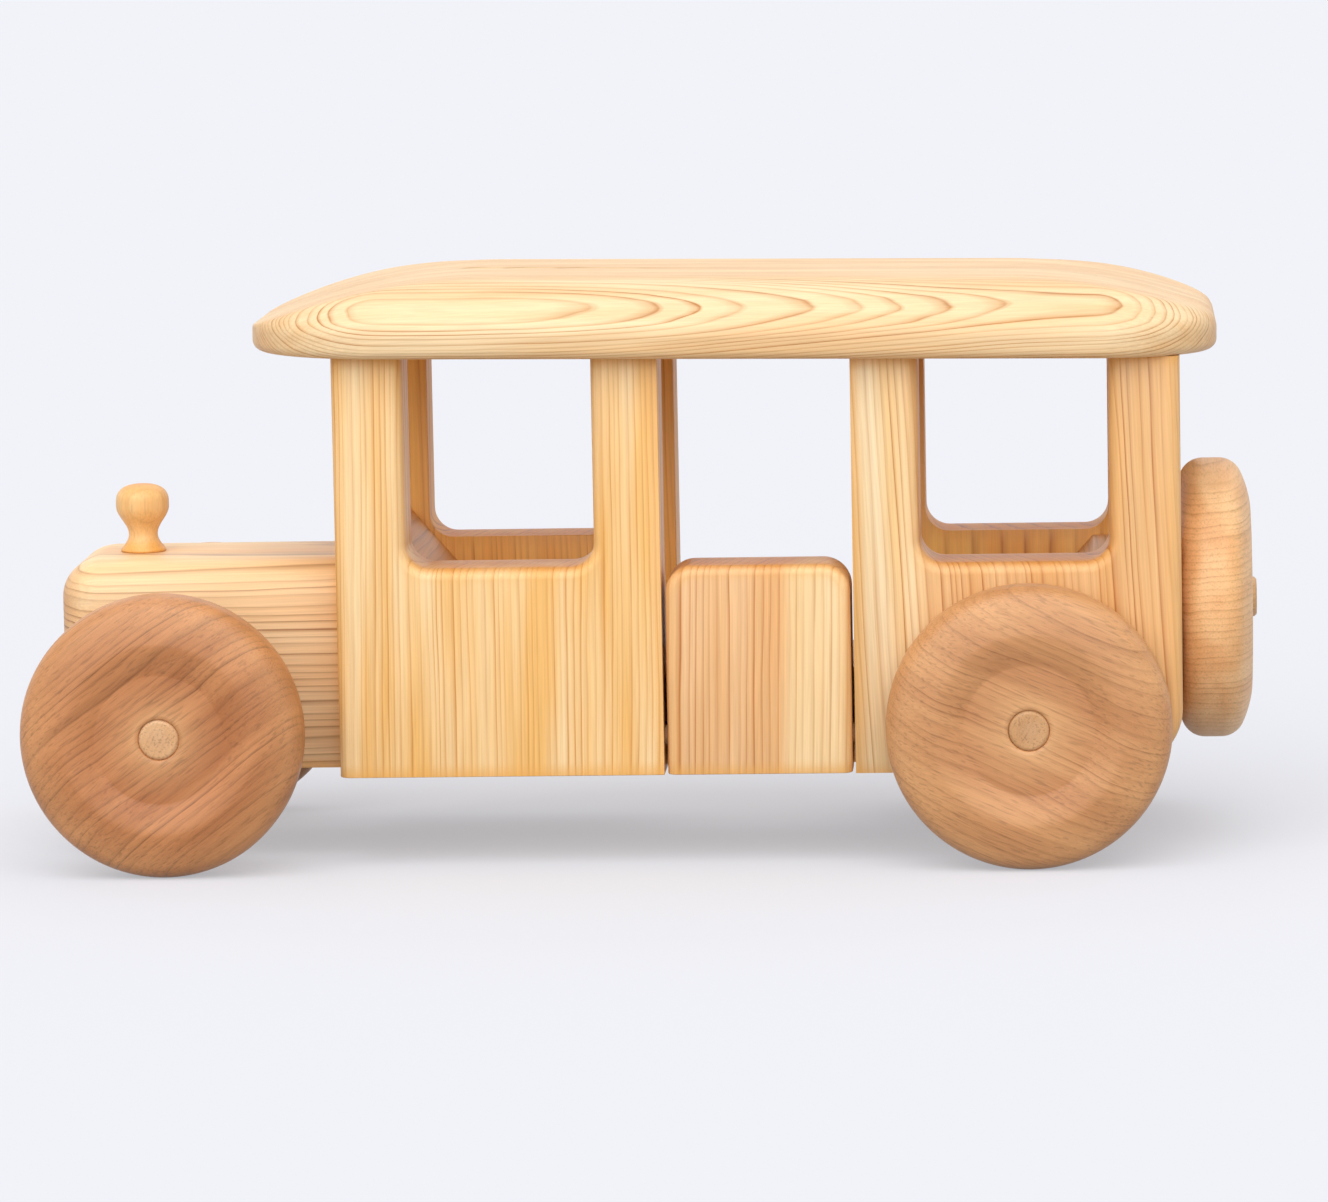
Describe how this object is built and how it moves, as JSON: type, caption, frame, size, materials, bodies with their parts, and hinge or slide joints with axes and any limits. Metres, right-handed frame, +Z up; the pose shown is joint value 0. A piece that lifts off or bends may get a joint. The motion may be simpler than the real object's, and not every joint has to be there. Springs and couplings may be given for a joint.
{
  "type": "wooden toy bus",
  "caption": "Natural wood toy bus with open windows, rounded roof, drop-down side door, bonnet with turned cap, rolling dished wheels on dowel axles and a spare wheel behind.",
  "frame": {"origin": "on the floor under the wheels, midway between the front of the front wheels and the end of the spare wheel's peg, on the centre plane", "axes": "+X towards the rear, -X towards the bonnet, -Y towards the left side with the door, +Z up"},
  "size_m": [0.3048, 0.125, 0.1449],
  "materials": {
    "larch": "oiled satin",
    "door_pine": "oiled satin",
    "alder": "oiled satin",
    "dowel_birch": "oiled satin"
  },
  "bodies": {
    "bus_body": {"floor_board": "larch", "front_left_side": "larch", "front_right_side": "larch", "rear_left_side": "larch", "rear_right_side": "larch", "dash_block": "larch", "tail_block": "larch", "bonnet": "larch", "bonnet_cap": "dowel_birch", "bonnet_dowels": "dowel_birch", "roof": "larch", "roof_dowels": "dowel_birch", "door_hinge_pins": "dowel_birch", "front_left_spacer": "dowel_birch", "front_right_spacer": "dowel_birch", "spare_wheel_peg": "dowel_birch", "spare_wheel": "alder"},
    "door": {"side_door": "door_pine"},
    "front_wheel_set": {"front_axle": "dowel_birch", "front_left_wheel": "alder", "front_right_wheel": "alder"},
    "rear_wheel_set": {"rear_axle": "dowel_birch", "rear_left_wheel": "alder", "rear_right_wheel": "alder"}
  },
  "joints": [
    {"name": "front_axle_spin", "type": "hinge", "parent": "bus_body", "child": "front_wheel_set", "pos_m": [-0.11745, 0, 0.035], "axis": [0, 1, 0], "continuous": true},
    {"name": "rear_axle_spin", "type": "hinge", "parent": "bus_body", "child": "rear_wheel_set", "pos_m": [0.09555, 0, 0.035], "axis": [0, 1, 0], "continuous": true},
    {"name": "door_hinge", "type": "hinge", "parent": "bus_body", "child": "door", "pos_m": [0.02915, -0.0355, 0.0314], "axis": [1, 0, 0], "range_deg": [0, 100]}
  ]
}
